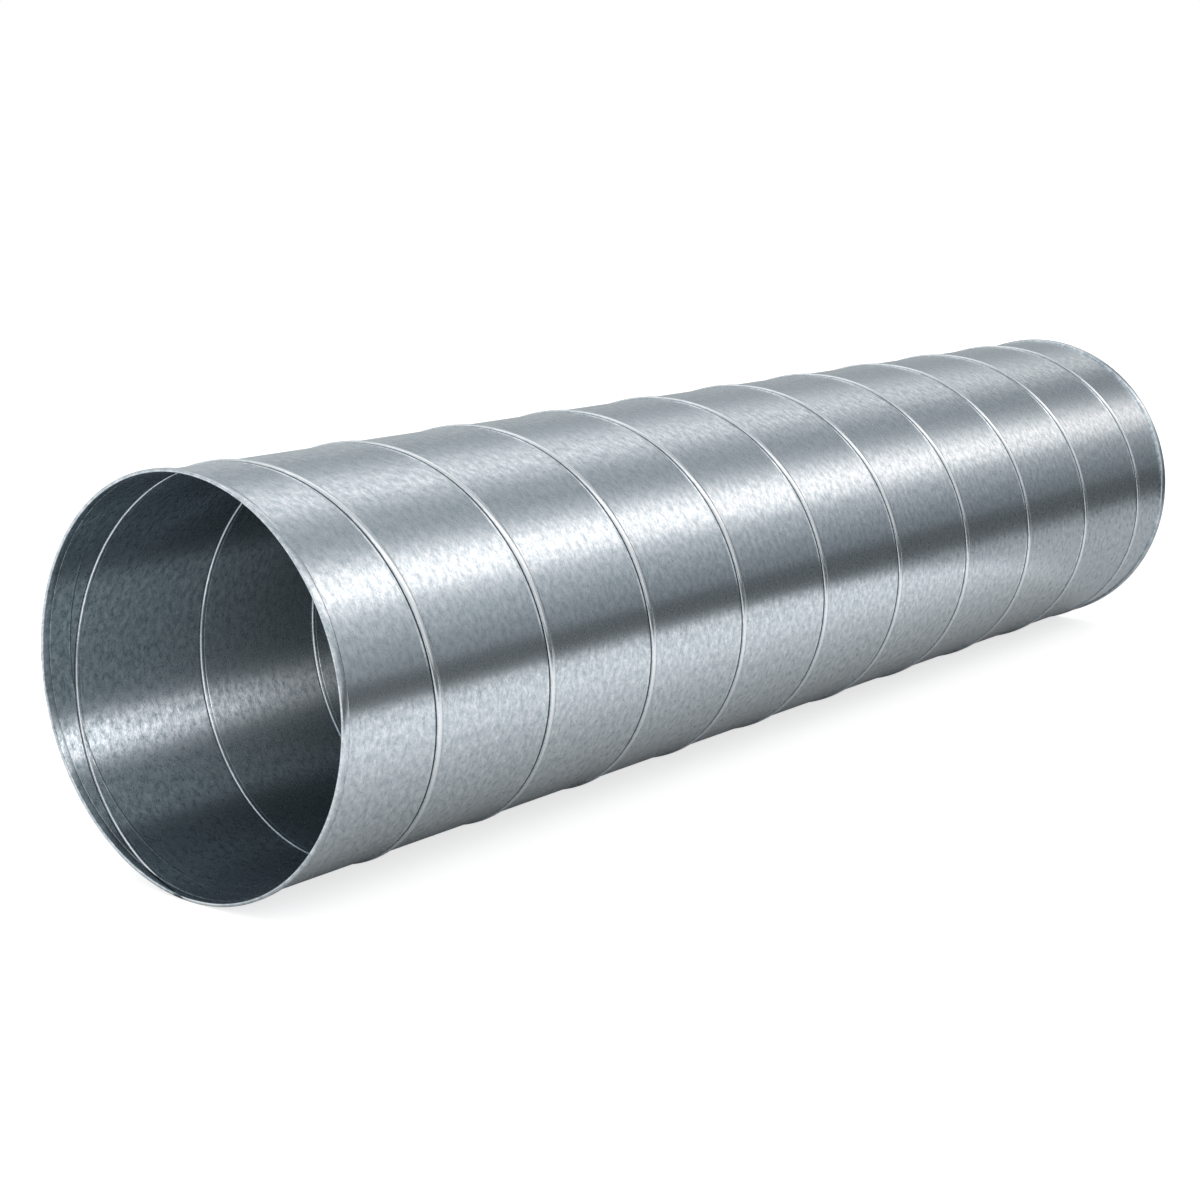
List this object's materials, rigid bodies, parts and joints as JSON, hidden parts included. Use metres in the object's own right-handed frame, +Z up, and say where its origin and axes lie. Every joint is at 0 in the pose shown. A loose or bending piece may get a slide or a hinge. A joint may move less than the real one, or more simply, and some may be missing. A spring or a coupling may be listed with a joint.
{
  "type": "spiral duct section",
  "caption": "Round ventilation duct wound from one galvanised strip, with a helical lock seam and hemmed open ends.",
  "frame": {"origin": "middle of the duct, on its axis", "axes": "+X along the duct from the near opening to the far one, +Z up, lying on its side"},
  "size_m": [1.25, 0.3054, 0.3054],
  "materials": {
    "galvanised_steel": "galvanised"
  },
  "bodies": {
    "root": {"spiral_duct": "galvanised_steel"}
  },
  "joints": []
}
